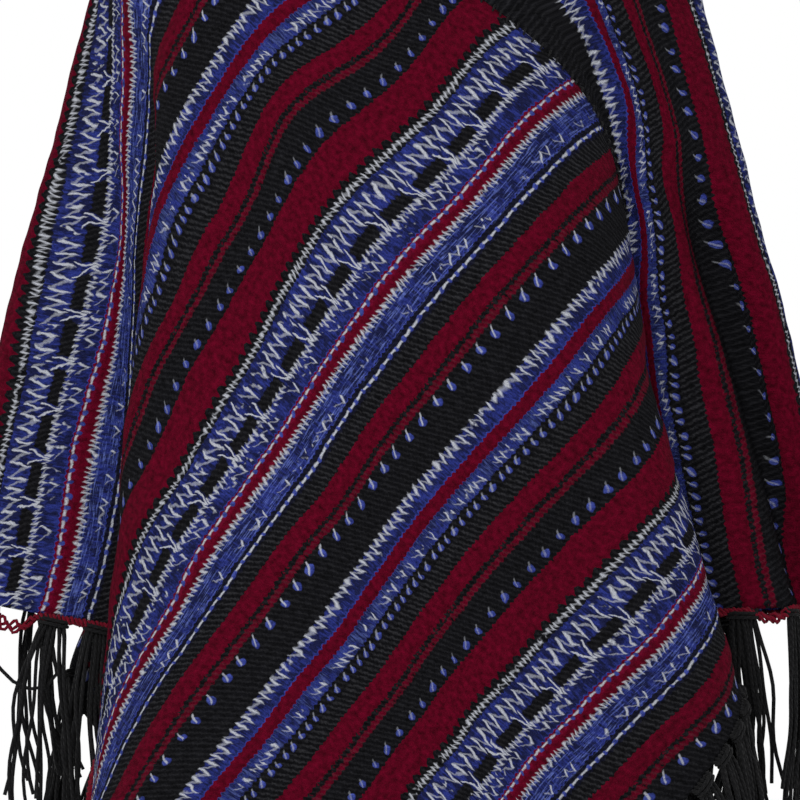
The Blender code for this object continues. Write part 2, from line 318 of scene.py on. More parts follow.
class Wire:
    """One number in a shader.  Python's operators on it add the Math nodes."""

    def __init__(self, kit, socket):
        self.kit, self.socket = kit, socket

    __add__ = __radd__ = maths("ADD")
    __sub__, __rsub__ = maths("SUBTRACT"), maths("SUBTRACT", turned=True)
    __mul__ = __rmul__ = maths("MULTIPLY")
    __truediv__, __mod__, __abs__ = maths("DIVIDE"), maths("FLOORED_MODULO"), maths("ABSOLUTE")
    ping_pong, sine, floor, highest = map(maths, ("PINGPONG", "SINE", "FLOOR", "MAXIMUM"))

    def to_and_fro(self):
        """0 at each whole number, and 1 halfway between two."""
        return self.ping_pong(0.5) * 2.0

    def within(self, half, soft):
        """1 where this is nearer to 0 than half, falling to 0 over soft."""
        return self.kit.math("MULTIPLY_ADD", abs(self), -1.0 / soft, half / soft + 0.5, clamp=True)

    def above(self, level, soft):
        """0 under level and 1 over it, over soft."""
        return self.kit.math("MULTIPLY_ADD", self, 1.0 / soft, 0.5 - level / soft, clamp=True)

    def between(self, low, high, soft):
        return (self - (low + high) / 2.0).within((high - low) / 2.0, soft)

    def in_any(self, spans, soft=0.5):
        """1 where this is in any of the spans."""
        total = self.between(*spans[0], soft)
        for low, high in spans[1:]:
            total = total + self.between(low, high, soft)
        return total


BUMP_STRENGTH = 0.8


class ShaderKit:
    """Builds one material's tree."""

    def __init__(self, name):
        self.material = bpy.data.materials.new(name)
        self.material.use_nodes = True
        self.tree = self.material.node_tree
        self.shader = self.tree.nodes["Principled BSDF"]

    def node(self, kind, settings=None, **values):
        node = self.tree.nodes.new("ShaderNode" + kind)
        for key, value in (settings or {}).items():
            setattr(node, key, value)
        for key, value in values.items():
            self.feed(node.inputs[key.replace("_", " ")], value)
        return node

    def feed(self, socket, value):
        if isinstance(value, Wire):
            value = value.socket
        if isinstance(value, bpy.types.NodeSocket):
            self.tree.links.new(value, socket)
        else:
            socket.default_value = value

    def math(self, operation, *values, clamp=False):
        node = self.node("Math", {"operation": operation, "use_clamp": clamp})
        for socket, value in zip(node.inputs, values):
            self.feed(socket, value)
        return Wire(self, node.outputs[0])

    def mix(self, factor, first, second, blend="MIX"):
        node = self.node("Mix", {"data_type": "RGBA", "blend_type": blend})
        self.feed(node.inputs["Factor"], factor)
        self.feed(node.inputs[6], first)
        self.feed(node.inputs[7], second)
        return node.outputs[2]

    def attribute(self, name):
        return self.node("Attribute", {"attribute_name": name}).outputs["Vector"]

    def split(self, vector):
        return [Wire(self, out) for out in self.node("SeparateXYZ", Vector=vector).outputs]

    def ramp(self, factor, stops, interpolation):
        node = self.node("ValToRGB", Fac=factor)
        node.color_ramp.interpolation = interpolation
        stop_list = node.color_ramp.elements
        for i, (place, colour) in enumerate(stops):
            stop = stop_list[i] if i < len(stop_list) else stop_list.new(place)
            stop.position, stop.color = place, colour
        return node

    def finish(self, colour, height, bump_depth, roughness, shine):
        """Joins the colour and the bumps, bump_depth metres deep, to the shader."""
        bump = self.node("Bump", Strength=BUMP_STRENGTH, Distance=bump_depth, Height=height)
        self.feed(self.shader.inputs["Base Color"], colour)
        self.feed(self.shader.inputs["Normal"], bump.outputs[0])
        self.shader.inputs["Roughness"].default_value = roughness
        self.shader.inputs["Specular IOR Level"].default_value = shine
        return self.material


# ---- the knitted stripes -----------------------------------------------------------------------
# Stripes of the chart: those whose blue yarn is of more than one shade, streaked or combed with light
# blue, those whose bushy yarn hides its stitches, and those whose ribs show plainly by a stronger painted
# sheen.
SHADED_BLUE = ((31.0, 96.0), (114.5, 140.0), (247.5, 267.5), (283.0, 300.0))
STREAKED_BLUE, COMBED_BLUE = (116.0, 142.0), (283.0, 299.0)
BUSHY = ((105.0, 114.5), (170.0, 190.0), (267.5, 280.8), (330.0, 350.5), (398.0, 436.0))
PLAINLY_RIBBED = ((152.5, 170.0), (313.0, 330.0))
# how strongly each shows: navy, light blue streaks and combs, and the painted sheen on the ribs
NAVY_SHOWS, STREAKS_SHOW, COMBS_SHOW, RIB_SHEEN_SHOWS = 0.85, 0.6, 0.35, 0.85

# Where two yarns meet, the edge steps from stitch to stitch, has teeth beside the widest crimson,
# and strays with the yarns' quick and slow unevenness.
EDGE_STEP, EDGE_TOOTH, EDGE_QUICK, EDGE_SLOW = 0.9, 3.2, 3.2, 2.0
TOOTH = 12.3                 # two stitches: from one tooth to the next
TEETH_REACH, TEETH_FADE = 9.0, 4.0
LINE_SLOW, LINE_QUICK = 3.0, 2.0             # how far what lies over the ground strays
DRIFT_SLOW, DRIFT_QUICK = 11.0, 2.4          # how unevenly the motifs follow one another

# Black blocks: where they lie, from one to the next, and the gap between.  The white V in each
# gap has a middle and a point across the course, a slant, and two steep arms.
BLOCK, BLOCK_REPEAT, BLOCK_GAP, BLOCK_SOFT = (60.5, 74.5), 49.2, 12.4, 1.6
V_SPAN, V_MIDDLE, V_POINT = (56.0, 78.5), 66.0, 77.5
V_SLANT, V_STEEP, V_HALF_WIDTH, V_WIDER = 0.22, 3.2, 2.9, 0.8

# Crimson courses that come and go beside the plain ones: low, high, and the share that is there.
BROKEN = ((189.0, 193.5, 0.35), (195.5, 202.5, 0.72), (350.5, 354.5, 0.35), (356.5, 363.0, 0.72))

# Blue beads: middle, half across, half along, period, phase, and how white the tick is that is
# laid over the upper side.
BEADS = (
    (101.5, 2.6, 2.4, 12.3, 10.0, 0.0),
    (148.5, 2.4, 3.0, 12.3, 6.15, 0.0),
    (212.0, 4.9, 4.3, 23.0, 5.0, 0.85),
    (308.0, 3.5, 3.3, 12.3, 8.0, 0.5),
    (390.0, 4.4, 3.9, 22.0, 11.0, 0.35),
)
# how strongly the painted highlight shows on a bead's upper side
BEAD_LIGHT = 0.35
TICK_ASIDE, TICK_SLANT, TICK_HALF_WIDTH = 0.8, 0.55, 1.05
TICK_UP, TICK_HALF_LENGTH = 0.55, 1.05       # shares of the bead's half across

# White slub yarn that zigzags between two lines of the chart: low, high, period, phase, slant,
# half width, the least share of the height that a zigzag reaches, and the share that is there.
ZIGZAGS = (
    (24.5, 32.0, 6.15, 0.0, 0.40, 0.72, 0.40, 0.84),
    (38.0, 60.0, 12.3, 3.0, 0.27, 1.00, 0.55, 0.84),
    (73.5, 82.0, 6.15, 7.0, 0.40, 0.75, 0.50, 0.84),
    (83.0, 95.0, 12.3, 1.0, 0.45, 0.70, 0.40, 0.50),
    (112.5, 120.5, 6.15, 2.0, 0.36, 0.75, 0.60, 0.90),
    (132.0, 141.0, 12.3, 4.0, 0.30, 0.70, 0.40, 0.44),
    (247.5, 264.0, 9.20, 5.0, 0.35, 0.75, 0.15, 0.84),
    (289.0, 299.0, 8.20, 1.0, 0.50, 0.68, 0.40, 0.50),
)
ZIGZAG_PAST = 1.2            # how far a zigzag may run past its two lines
BACK_STROKE_FADES = 0.55     # each zigzag's second stroke is fainter by this share
FIRST_ZIGZAG_ROW = 10        # the dice's rows below this are the beads'
ROWS_A_REPEAT = 37.0

# White yarn that lies along the course in dashes: middle, half length, half width, period, phase
# and slant.
DASHES = (
    (100.0, 3.8, 0.95, 12.3, 4.0, 0.35),
    (148.0, 4.0, 1.05, 12.3, 0.0, 0.20),
)

# Stitches: how a leg and a loop slant across the course, how far a loop bends in its wale, and
# how much less the legs show on bushy yarn.
LEG_SLANT, LOOP_SLANT, LOOP_BEND, BUSHY_HIDES = 0.075, 0.19, 0.8, 0.75
KNIT_BUMP_DEPTH, KNIT_ROUGHNESS, KNIT_SHINE = 0.0012, 0.95, 0.06


class Knitting(ShaderKit):
    """The striped cloth.  colour is what its yarns show so far, with how strongly a painted sheen shows
    on their ribs kept beside it, and white how much white slub yarn lies over them."""

    def __init__(self, name):
        super().__init__(name)
        self.stitch = self.attribute("stitch")
        place, self.course, _ = self.split(self.stitch)
        self.slow = self.noise(scale=0.045) - 0.5
        self.quick = self.noise(scale=0.19) - 0.5
        self.patch = self.noise(scale=0.021, move=(57.0, 19.0, 0.0))
        self.fibre = self.noise(scale=0.62, move=(31.0, 7.0, 0.0), detail=2.0, rough=0.6)
        self.streak = self.noise(fine=(0.60, 0.050, 1.0))
        self.comb = self.noise(fine=(0.050, 0.42, 1.0))
        self.tuft = self.noise(fine=(0.12, 0.16, 1.0))

        # the place in the chart: inside it as it is, ragged where one yarn gives way to the next,
        # and smooth for what lies over them
        plain = place + (FIRST_STRIPE - CHART_STARTS)
        self.repeat = (plain / REPEAT).floor()
        self.inside = plain - self.repeat * REPEAT + CHART_STARTS
        from_widest = self.inside - CHART_STARTS
        beside_widest = (from_widest.within(TEETH_REACH, TEETH_FADE)
                         + (from_widest - REPEAT).within(TEETH_REACH, TEETH_FADE))
        step = (self.course / WALE + self.slow).to_and_fro() * 2.0 - 1.0
        tooth = ((self.course / TOOTH).to_and_fro() * 2.0 - 1.0) * beside_widest
        wobble = (step * EDGE_STEP + tooth * EDGE_TOOTH
                  + self.quick * EDGE_QUICK + self.slow * EDGE_SLOW)
        self.ragged = (plain + wobble) % REPEAT + CHART_STARTS
        self.smooth = self.inside + self.slow * LINE_SLOW + self.quick * LINE_QUICK
        self.drift = self.course + self.slow * DRIFT_SLOW + self.quick * DRIFT_QUICK

        stops = [(low / CHART_ENDS, YARNS[yarn]) for _, low, yarn, _ in STRIPES]
        ground = self.ramp(self.ragged / CHART_ENDS, stops, "CONSTANT")
        self.colour, self.rib_sheen_share = ground.outputs["Color"], Wire(self, ground.outputs["Alpha"])

    def noise(self, scale=1.0, fine=(1.0, 1.0, 1.0), move=(0.0, 0.0, 0.0), detail=1.0, rough=0.5):
        """Noise of 0 to 1 over the cloth, its middle at 0.5.  fine says how fine it is across
        the cloth and along it."""
        place = self.node("VectorMath", {"operation": "MULTIPLY_ADD"})
        for socket, value in zip(place.inputs, (self.stitch, fine, move)):
            self.feed(socket, value)
        node = self.node("TexNoise", {"noise_dimensions": "2D"}, Vector=place.outputs[0],
                         Scale=scale, Detail=detail, Roughness=rough)
        return Wire(self, node.outputs["Fac"])

    def dice(self, cell, row):
        """A chance of 0 to 1 for one motif, by its number along the course, repeat and row."""
        number = self.node("CombineXYZ", X=cell, Y=self.repeat * ROWS_A_REPEAT + float(row))
        node = self.node("TexWhiteNoise", {"noise_dimensions": "2D"}, Vector=number.outputs[0])
        return Wire(self, node.outputs["Value"])

    def lay(self, yarn, where):
        """Covers what is there with one of the colours: a yarn, a painted highlight, or the painted sheen
        on ribs.
        """
        self.colour = self.mix(where, self.colour, YARNS[yarn])

    def vary_blue(self):
        shade = self.tuft * 0.5 + self.comb * 0.5 + self.slow * 0.4 + self.quick * 0.3
        navy = self.ragged.in_any(SHADED_BLUE) * shade.above(0.46, soft=0.22)
        self.lay("navy", navy * NAVY_SHOWS)
        streaks = self.smooth.between(*STREAKED_BLUE, soft=3.0) * self.streak.above(0.60, soft=0.16)
        combs = self.smooth.between(*COMBED_BLUE, soft=2.0) * self.comb.above(0.58, soft=0.16)
        self.lay("light_blue", (streaks * STREAKS_SHOW).highest(combs * COMBS_SHOW))

    def lay_blocks(self):
        """Black blocks in the widest blue group, with a white V in each gap between them."""
        from_gap = (self.drift % BLOCK_REPEAT) - BLOCK_REPEAT / 2.0
        gap = BLOCK_GAP / 2.0
        block = (self.ragged.between(*BLOCK, soft=BLOCK_SOFT)
                 * abs(from_gap).above(gap, soft=BLOCK_SOFT))
        self.lay("black", block)
        # the black blocks take the painted sheen on their ribs too
        self.rib_sheen_share = self.rib_sheen_share.highest(block)
        lean = from_gap + (self.smooth - V_MIDDLE) * V_SLANT
        arms = (self.smooth - V_POINT + abs(lean) * V_STEEP).within(V_HALF_WIDTH, soft=2.6)
        arms = arms * lean.within(gap + V_WIDER, soft=1.0)
        self.white = arms * self.smooth.between(*V_SPAN, soft=1.5)

    def lay_broken_courses(self):
        wale = (self.course / WALE + self.quick * 0.6).to_and_fro()
        uneven = self.tuft * 0.7 + wale * 0.3
        for low, high, kept in BROKEN:
            there = self.ragged.between(low, high, soft=1.2) * uneven.above(1.0 - kept, soft=0.10)
            self.lay("crimson", there)

    def lay_beads(self):
        """Blue beads with a painted highlight on the upper side, some with a white tick laid over them.
        """
        for row, (middle, half_across, half_along, period, phase, tick) in enumerate(BEADS):
            run = self.drift + phase
            cell = (run / period).floor()
            lies = run - cell * period - period / 2.0
            up = self.smooth - middle
            apart = up * up * (1.0 / half_across**2) + lies * lies * (1.0 / half_along**2)
            bead = apart.within(1.0, soft=0.5)
            # painted highlight: the upper side of each bead lighter, as if lit from above
            painted_highlight = bead * (0.35 - up * (0.5 / half_across)).above(0.35, soft=0.9)
            self.lay("blue", bead)
            self.lay("light_blue", painted_highlight * BEAD_LIGHT)
            self.rib_sheen_share = self.rib_sheen_share * (1.0 - bead)
            if tick > 0.0:
                laid = (lies - TICK_ASIDE - up * TICK_SLANT).within(TICK_HALF_WIDTH, soft=1.0)
                laid = laid * (up + half_across * TICK_UP).within(half_across * TICK_HALF_LENGTH,
                                                                  soft=1.4)
                fresh = 0.75 + self.dice(cell, row) * 0.25
                self.white = self.white.highest(laid * tick * fresh)

    def lay_zigzags(self):
        for row, (low, high, period, phase, slant, half_width, least, kept) in enumerate(ZIGZAGS):
            run = self.drift + self.smooth * slant + phase
            cell = (run / period).floor()
            lies = run - cell * period
            chance = self.dice(cell, row + FIRST_ZIGZAG_ROW)
            reach = least + (chance * 0.5 + self.patch * 0.8 - 0.15) * (1.0 - least)
            rise = (high - low) / (period / 2.0)
            steep = math.hypot(1.0, rise)
            bent = lies.ping_pong(period / 2.0) * rise * reach
            line = (self.smooth - low - bent).within(half_width * steep, soft=steep * 0.9)
            strong = 1.0 - (lies - period / 2.0).above(0.0, soft=0.8) * BACK_STROKE_FADES
            line = line * strong * self.smooth.between(low - ZIGZAG_PAST, high + ZIGZAG_PAST,
                                                       soft=1.5)
            there = (chance * 0.75 + self.tuft * 0.5 - 0.125).above(1.0 - kept, soft=0.06)
            self.white = self.white.highest(line * there)

    def lay_dashes(self):
        for middle, half_length, half_width, period, phase, slant in DASHES:
            across = self.smooth - middle
            lies = (self.drift + across * slant + phase) % period - period / 2.0
            dash = lies.within(half_length, soft=1.4) * across.within(half_width, soft=1.2)
            self.white = self.white.highest(dash)

    def work_stitches(self):
        """Slanted half loops in every wale, drawn as painted sheen on the ribs, painted shade on the
        stitches and bumps, and the yarns' own unevenness.  Returns the height.
        """
        leg = (self.course / WALE + self.inside * LEG_SLANT + self.quick * 0.5).to_and_fro()
        turns = self.inside * LOOP_SLANT + (self.course / WALE).to_and_fro() * LOOP_BEND
        loop = (turns * (2.0 * math.pi)).sine()
        bushy = self.ragged.in_any(BUSHY)
        legs = (leg - 0.5) * (1.0 - bushy * BUSHY_HIDES)
        loops = loop * (1.0 - bushy)
        plainly = 0.32 + self.inside.in_any(PLAINLY_RIBBED) * 0.5
        ridge = leg + loop * 0.12 + (self.comb - 0.5) * 0.9
        # painted sheen: grey laid on the ridges of the ribs, where light would catch them
        self.lay("painted_rib_sheen", self.rib_sheen_share * plainly * ridge.above(0.66, soft=0.55) * RIB_SHEEN_SHOWS)
        # painted shade: the stitches' legs and loops lighter and darker as light falls on them, with the
        # yarns' random tone from the noises
        light = (0.98 + legs * 0.30 + loops * 0.07 + (self.fibre - 0.5) * (0.9 - bushy * 0.1)
                 + (self.tuft - 0.5) * 1.1 + self.quick * (bushy * 0.4 + 0.5))
        painted_stitch_shade_and_tone = self.node("CombineColor", Red=light, Green=light, Blue=light).outputs[0]
        self.colour = self.mix(1.0, self.colour, painted_stitch_shade_and_tone, "MULTIPLY")
        return legs * 0.6 + loops * 0.2 + self.fibre * (bushy * 0.3 + 1.0) + self.quick * 0.4


def knit_material(name):
    knit = Knitting(name)
    knit.vary_blue()
    knit.lay_blocks()
    knit.lay_broken_courses()
    knit.lay_beads()
    knit.lay_zigzags()
    knit.lay_dashes()
    height = knit.work_stitches()
    knit.lay("white", (knit.white * (0.62 + knit.fibre * 0.75)).highest(0.0))
    return knit.finish(knit.colour, height, KNIT_BUMP_DEPTH, KNIT_ROUGHNESS, KNIT_SHINE)


PLIES, PLY_TURN = 3.0, 0.0060                # strands of a yarn, and one turn of them in metres
FUZZ_SCALE = 900.0


def yarn_material(name, colour, lint):
    """Plied yarn: three strands twisted, read round and along each thread."""
    kit = ShaderKit(name)
    round_x, round_y, along = kit.split(kit.attribute("twist"))
    turn = kit.math("ARCTAN2", round_y, round_x)
    ply = (turn * PLIES + along * (2.0 * math.pi / PLY_TURN)).sine()
    place = kit.node("TexCoord").outputs["Object"]
    node = kit.node("TexNoise", Vector=place, Scale=FUZZ_SCALE, Detail=2.0)
    fuzz = Wire(kit, node.outputs["Fac"])
    tone = kit.mix((fuzz + ply * 0.08).above(0.58, soft=0.5), colour, lint)
    kit.shader.inputs["Sheen Weight"].default_value = 0.04
    return kit.finish(tone, ply * 0.35 + fuzz * 0.8, bump_depth=0.0008, roughness=0.85, shine=0.15)


# ---- the panels --------------------------------------------------------------------------------
# Soft creases, in the knitting's unit: the panel, a first and a second place (across, along),
# how wide, and how deep in metres.
CREASES = (
    ("back", (130.0, 440.0), (138.0, 960.0), 16.0, 0.034),
    ("back", (52.0, 330.0), (60.0, 560.0), 15.0, 0.005),
    ("front", (660.0, 650.0), (720.0, 1010.0), 85.0, 0.011),
    ("front", (285.0, 380.0), (330.0, 920.0), 22.0, 0.004),
    ("front", (900.0, 120.0), (1060.0, 480.0), 40.0, 0.006),
)
CREASE_FADES, CREASE_STAYS = 4.0, 0.4        # in a quarter of its length; it keeps some at the hem

# Where an end hem is stretched down: the panel, where across it, how wide and how far.
STRETCHES = (("front", 0.430, 0.100, 0.045), ("back", -0.030, 0.110, 0.017))

CELLS_ACROSS, CELLS_ALONG = 400, 176         # of a panel's outer face; its inner has half as many
MILLIMETRE = 0.001
STEP_HALF = 1.5              # half the run over which one stripe rises from the next
RELIEF_FADES = 0.006         # over so much of the cloth, at the sewn and hem edges
UNEVEN = ((0.16, 0.9), (0.09, 0.6), (0.045, 0.35), (0.024, 0.18))    # wavelength, millimetres
WAVES_OF_EACH = 4
RELIEF_SEED = {"front": 5, "back": 11}
COURSE_STARTS = {"front": 0.0, "back": 40.0}     # so that the two panels' yarns differ

# The panel's map: the outer face, the rim and the inner face, one above the other.
MAP_MARGIN = 0.002
OUTER_MAP, RIM_MAP, INNER_MAP = (0.002, 0.660), (0.664, 0.676), (0.680, 0.998)


def placed(name, data):
    """A new object in the scene."""
    made = bpy.data.objects.new(name, data)
    bpy.context.scene.collection.objects.link(made)
    return made


def relief(across, along, side):
    """How far the outer face stands off, in metres: the stripes' heights and a soft unevenness."""
    index, _ = chart_place(across, along, side)
    inside = (index + FIRST_STRIPE - CHART_STARTS) % REPEAT + CHART_STARTS
    _, lows, _, heights = zip(*STRIPES)
    ends = np.array([*lows[1:], CHART_ENDS])
    heights = np.array([*heights, heights[0]])
    height = np.interp(inside, np.repeat(ends, 2) + np.tile([-STEP_HALF, STEP_HALF], len(ends)),
                       np.stack([heights[:-1], heights[1:]], axis=1).ravel())
    draw = np.random.default_rng(RELIEF_SEED[side])
    uneven = np.zeros_like(index)
    for wavelength, amount in UNEVEN:
        for _ in range(WAVES_OF_EACH):
            turn, phase = draw.uniform(0.0, 2.0 * math.pi, 2)
            k = 2.0 * math.pi / wavelength
            uneven += amount / 2.0 * np.sin(k * (across * math.cos(turn)
                                                 + along * math.sin(turn)) + phase)
    return (height + uneven) * MILLIMETRE


def stretched(across, along, side):
    """The place along that the cloth reaches where its end hem is stretched."""
    part = (along - NECK_HALF_EDGE) / PANEL_LENGTH
    for where, middle, half_width, down in STRETCHES:
        if where == side:
            along = along + down * part**3 * np.exp(-((across - middle) / half_width) ** 2)
    return along


def creased(across, along, side):
    """How far the cloth is drawn in by the creases, in metres."""
    index, course = in_units(across, along)
    drawn = np.zeros_like(index)
    for where, (i, j), (k, m), half_width, deep in CREASES:
        if where != side:
            continue
        part = ((index - i) * (k - i) + (course - j) * (m - j)) / ((k - i)**2 + (m - j)**2)
        aside = np.hypot(index - i - part * (k - i), course - j - part * (m - j))
        ends = (np.clip(part * CREASE_FADES, 0.0, 1.0)
                * np.clip((1.0 - part) * CREASE_FADES + CREASE_STAYS, 0.0, 1.0))
        drawn += deep * np.exp(-(aside / half_width) ** 2) * soft_step(ends)
    return drawn


def panel_face(u, v, side, off, map_span):
    """One face of a panel: its points, their stitches, and their places on the map."""
    points = panel_place(u, stretched(u, v, side), side, off - creased(u, v, side))
    place, course = chart_place(u, v, side)
    stitches = np.stack([place, course + COURSE_STARTS[side], np.zeros_like(u)], axis=-1)
    low, high = map_span
    spots = np.stack([MAP_MARGIN + (1.0 - 2.0 * MAP_MARGIN) * (u + NECK_HALF_EDGE) / PANEL_WIDTH,
                      low + (high - low) * (v - NECK_HALF_EDGE) / PANEL_LENGTH], axis=-1)
    return points.reshape(-1, 3), stitches.reshape(-1, 3), spots.reshape(-1, 2)


def quads(ids):
    return np.stack([ids[:-1, :-1], ids[:-1, 1:], ids[1:, 1:], ids[1:, :-1]], -1).reshape(-1, 4)


def border(ids):
    """Once round the edge of a grid of points."""
    return np.concatenate([ids[:, 0], ids[-1, 1:], ids[-2::-1, -1], ids[0, -2:0:-1]]).tolist()


def panel(name, side, material):
    """A closed shell: an outer face with relief, a plain inner one, and a rim between them."""
    across = np.linspace(-NECK_HALF_EDGE + SEAM_GAP / 2.0, HEM_REACH, CELLS_ACROSS + 1)
    along = np.linspace(NECK_HALF_EDGE + SEAM_GAP / 2.0, HEM_REACH, CELLS_ALONG + 1)
    u, v = np.meshgrid(across, along, indexing="ij")
    inner_u, inner_v = u[::2, ::2], v[::2, ::2]
    edge = np.minimum.reduce([u - across[0], across[-1] - u, v - along[0], along[-1] - v])
    lift = relief(u, v, side) * np.clip(edge / RELIEF_FADES, 0.0, 1.0)
    outer_face = panel_face(u, v, side, WALL / 2.0 + lift, OUTER_MAP)
    inner_face = panel_face(inner_u, inner_v, side, -WALL / 2.0, INNER_MAP)
    points, stitches, spots = (np.vstack(pair) for pair in zip(outer_face, inner_face))

    outer = np.arange(u.size).reshape(u.shape)
    inner = u.size + np.arange(inner_u.size).reshape(inner_u.shape)
    corners = np.vstack([quads(outer), quads(inner)[:, ::-1]])
    faces, loops = corners.tolist(), [spots[corners].ravel()]
    rim_out, rim_in = border(outer), border(inner)
    low, high = RIM_MAP
    count = len(rim_in)
    for k in range(count):
        after = (k + 1) % count
        faces.append([rim_out[2 * k], rim_out[2 * k + 1], rim_out[2 * after],
                      rim_in[after], rim_in[k]])
        left, right = k / count, (k + 1) / count
        loops.append((left, low, (left + right) / 2.0, low, right, low, right, high, left, high))
    mesh = bpy.data.meshes.new(name)
    mesh.from_pydata(points.tolist(), [], faces)
    uv = mesh.uv_layers.new(name="OFBake")
    uv.uv.foreach_set("vector", np.concatenate([np.asarray(x, np.float32) for x in loops]))
    attribute = mesh.attributes.new("stitch", "FLOAT_VECTOR", "POINT")
    attribute.data.foreach_set("vector", stitches.astype(np.float32).ravel())
    mesh.shade_smooth()
    mesh.update()
    mesh.materials.append(material)
    return placed(name, mesh)


# ---- yarns, by Geometry Nodes ------------------------------------------------------------------
def yarn_tree():
    """Turns lines into round threads.  Each line's own thickness is its attribute "thick"."""
    tree = bpy.data.node_groups.new("yarn", "GeometryNodeTree")
    inputs = {name: tree.interface.new_socket(name, in_out="INPUT",
                                              socket_type="NodeSocket" + kind).identifier
              for name, kind in (("Geometry", "Geometry"), ("Radius", "Float"), ("Sides", "Int"),
                                 ("Material", "Material"))}
    tree.interface.new_socket("Geometry", in_out="OUTPUT", socket_type="NodeSocketGeometry")

    def node(kind, feeds, **settings):
        """A node's outputs, once it has its settings and what its inputs are fed."""
        made = tree.nodes.new(kind)
        for key, value in settings.items():
            setattr(made, key, value)
        for key, value in feeds.items():
            if isinstance(value, bpy.types.NodeSocket):
                tree.links.new(value, made.inputs[key])
            else:
                made.inputs[key].default_value = value
        return made.outputs

    def store(geometry, name, kind, value):
        return node("GeometryNodeStoreNamedAttribute",
                    {"Geometry": geometry, "Name": name, "Value": value},
                    data_type=kind, domain="POINT")[0]

    def read(name, kind):
        return node("GeometryNodeInputNamedAttribute", {"Name": name}, data_type=kind)["Attribute"]

    given = node("NodeGroupInput", {})
    thread = node("GeometryNodeMeshToCurve", {0: given["Geometry"]})[0]
    thread = store(thread, "run", "FLOAT", node("GeometryNodeSplineParameter", {})["Length"])
    thread = node("GeometryNodeSetCurveRadius",
                  {"Curve": thread, "Radius": read("thick", "FLOAT")})[0]
    circle = node("GeometryNodeCurvePrimitiveCircle",
                  {"Resolution": given["Sides"], "Radius": given["Radius"]})[0]
    circle = store(circle, "round", "FLOAT_VECTOR", node("GeometryNodeInputPosition", {})[0])
    thread = node("GeometryNodeCurveToMesh",
                  {"Curve": thread, "Profile Curve": circle, "Fill Caps": True})[0]
    # the twist is read by where round the thread, and how far along it, a place lies
    across = node("ShaderNodeSeparateXYZ", {0: read("round", "FLOAT_VECTOR")})
    twist = node("ShaderNodeCombineXYZ", {0: across[0], 1: across[1], 2: read("run", "FLOAT")})[0]
    thread = store(thread, "twist", "FLOAT_VECTOR", twist)
    thread = node("GeometryNodeRealizeInstances", {0: thread})[0]
    thread = node("GeometryNodeSetMaterial", {"Geometry": thread, "Material": given["Material"]})[0]
    node("NodeGroupOutput", {0: thread})
    return tree, inputs


YARN_TREE, YARN_INPUTS = yarn_tree()


def yarns(name, lines, radius, sides, material):
    """One piece of many threads.  A line is its points and its thickness at each of them."""
    points, edges, thick = [], [], []
    for line, widths in lines:
        first = len(points)
        points.extend(np.asarray(line).tolist())
        thick.extend(np.broadcast_to(widths, len(line)).tolist())
        edges.extend((first + i, first + i + 1) for i in range(len(line) - 1))
    mesh = bpy.data.meshes.new(name + "_lines")
    mesh.from_pydata(points, edges, [])
    mesh.attributes.new("thick", "FLOAT", "POINT").data.foreach_set("value", thick)
    source = placed(name + "_lines", mesh)
    modifier = source.modifiers.new("yarn", "NODES")
    modifier.node_group = YARN_TREE
    for key, value in (("Radius", radius), ("Sides", sides), ("Material", material)):
        modifier[YARN_INPUTS[key]] = value
    graph = bpy.context.evaluated_depsgraph_get()
    made = bpy.data.meshes.new_from_object(source.evaluated_get(graph))
    bpy.data.objects.remove(source)
    made.name = name
    for spare in [a.name for a in made.attributes if a.name in ("run", "round", "thick")]:
        made.attributes.remove(made.attributes[spare])
    made.shade_smooth()
    return placed(name, made)


# ---- tassels -----------------------------------------------------------------------------------
YARN_RADIUS, YARN_SIDES = 0.0016, 6
YARNS_IN_TASSEL = 12
CLUMPS = 3                   # a tassel's yarns hang in so many clumps
BUNCH = 0.016                # width of a tassel where it is tied
TIE = 0.007                  # how far below the hem it is tied
TASSEL_LENGTH = 0.154
TASSEL_SEED = {("front", "hem"): 3, ("front", "side"): 8, ("back", "hem"): 23, ("back", "side"): 28}
NECK_FACETS = 10             # facets of a panel's end that lie along the neck
NEARBY = 0.004               # run of a hem over which its way is measured
PLUMB = np.array([0.0, 0.0, -1.0])

# Each yarn's way over the hem, at four places down to the tie: below the hem and off the cloth,
# how much of its layer's depth it has, and its share of the bunch's width.
HEAD_DOWN = np.array([-0.002, 0.0005, 0.003, TIE - 0.001])
HEAD_OFF = np.array([-0.002, 0.0006, 0.0014, 0.0006])
HEAD_LAYER = np.array([0, 0.3, 1, 1])
HEAD_SPREAD = np.array([1.25, 1.2, 1.05, 0.85])

# How far chance moves a clump aside and off the cloth, a whole tassel, and one yarn, and by what
# share it changes a yarn's length; how far apart clumps and yarns hang besides.
CLUMP_ASIDE, CLUMP_OFF, BOW, CLUMPS_APART = 0.006, 0.004, 0.008, 0.007
YARN_ASIDE, YARN_OFF, YARNS_APART, LENGTH_VARIES = 0.0030, 0.0018, 0.008, 0.06
# A yarn leaves the hem by the cloth's own way and turns plumb: how much of each it starts with,
# and how much goes over by its tip.  A layer lies so many radii from the tassel's middle.
FLARE, PULL, TURNS_PLUMB, LAYER_DEPTH = 0.55, 0.45, 0.45, 0.8
# A yarn's least and most: its waves' height and how fast they turn, and its thickness.
WAVES, WAVE_RATES, THICKNESSES = (0.0010, 0.0045), (6.0, 11.0), (0.86, 1.08)
SECOND_RATE, FULL_TURN, THIN_TIP = 1.3, 6.28, 0.7
LEAVES_BY = 0.050            # run below the hem that gives the way a tassel leaves it
STEADY = np.array([1.0, 1.0, 0.25])          # keeps its spread nearly level
TAIL_STEPS = 14

